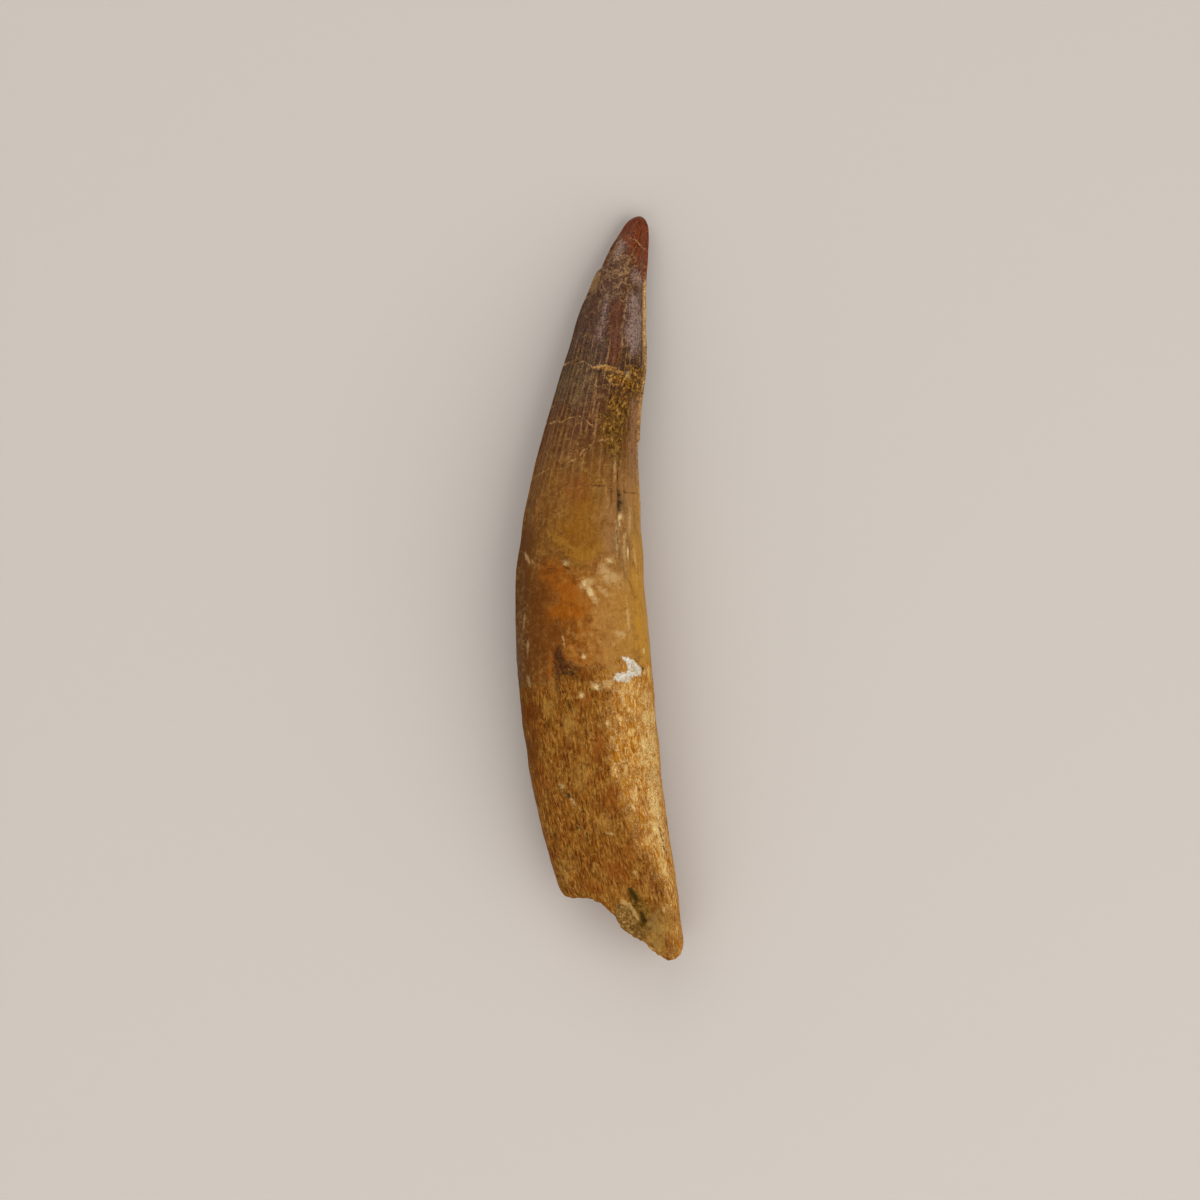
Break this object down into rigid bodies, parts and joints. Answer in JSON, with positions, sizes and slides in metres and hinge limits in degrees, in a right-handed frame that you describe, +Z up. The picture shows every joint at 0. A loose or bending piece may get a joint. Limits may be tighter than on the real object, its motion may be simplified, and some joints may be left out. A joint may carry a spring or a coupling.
{
  "type": "fossil spinosaurus tooth",
  "caption": "Fossil Spinosaurus tooth with its broken-off root, in one piece, lying on its side: fluted crown, two keels, pitted root.",
  "frame": {"origin": "centre of the bounding box's footprint, on the surface that the tooth rests on", "axes": "+Y along the tooth from the broken root to the tip, +X towards the inner side of its curve, +Z up from the surface that it lies on"},
  "size_m": [0.0248, 0.1101, 0.0157],
  "materials": {
    "fossil tooth": "smooth, half-gloss brown enamel on the crown and matt ochre on the root"
  },
  "bodies": {
    "root": {"tooth": "fossil tooth"}
  },
  "joints": []
}
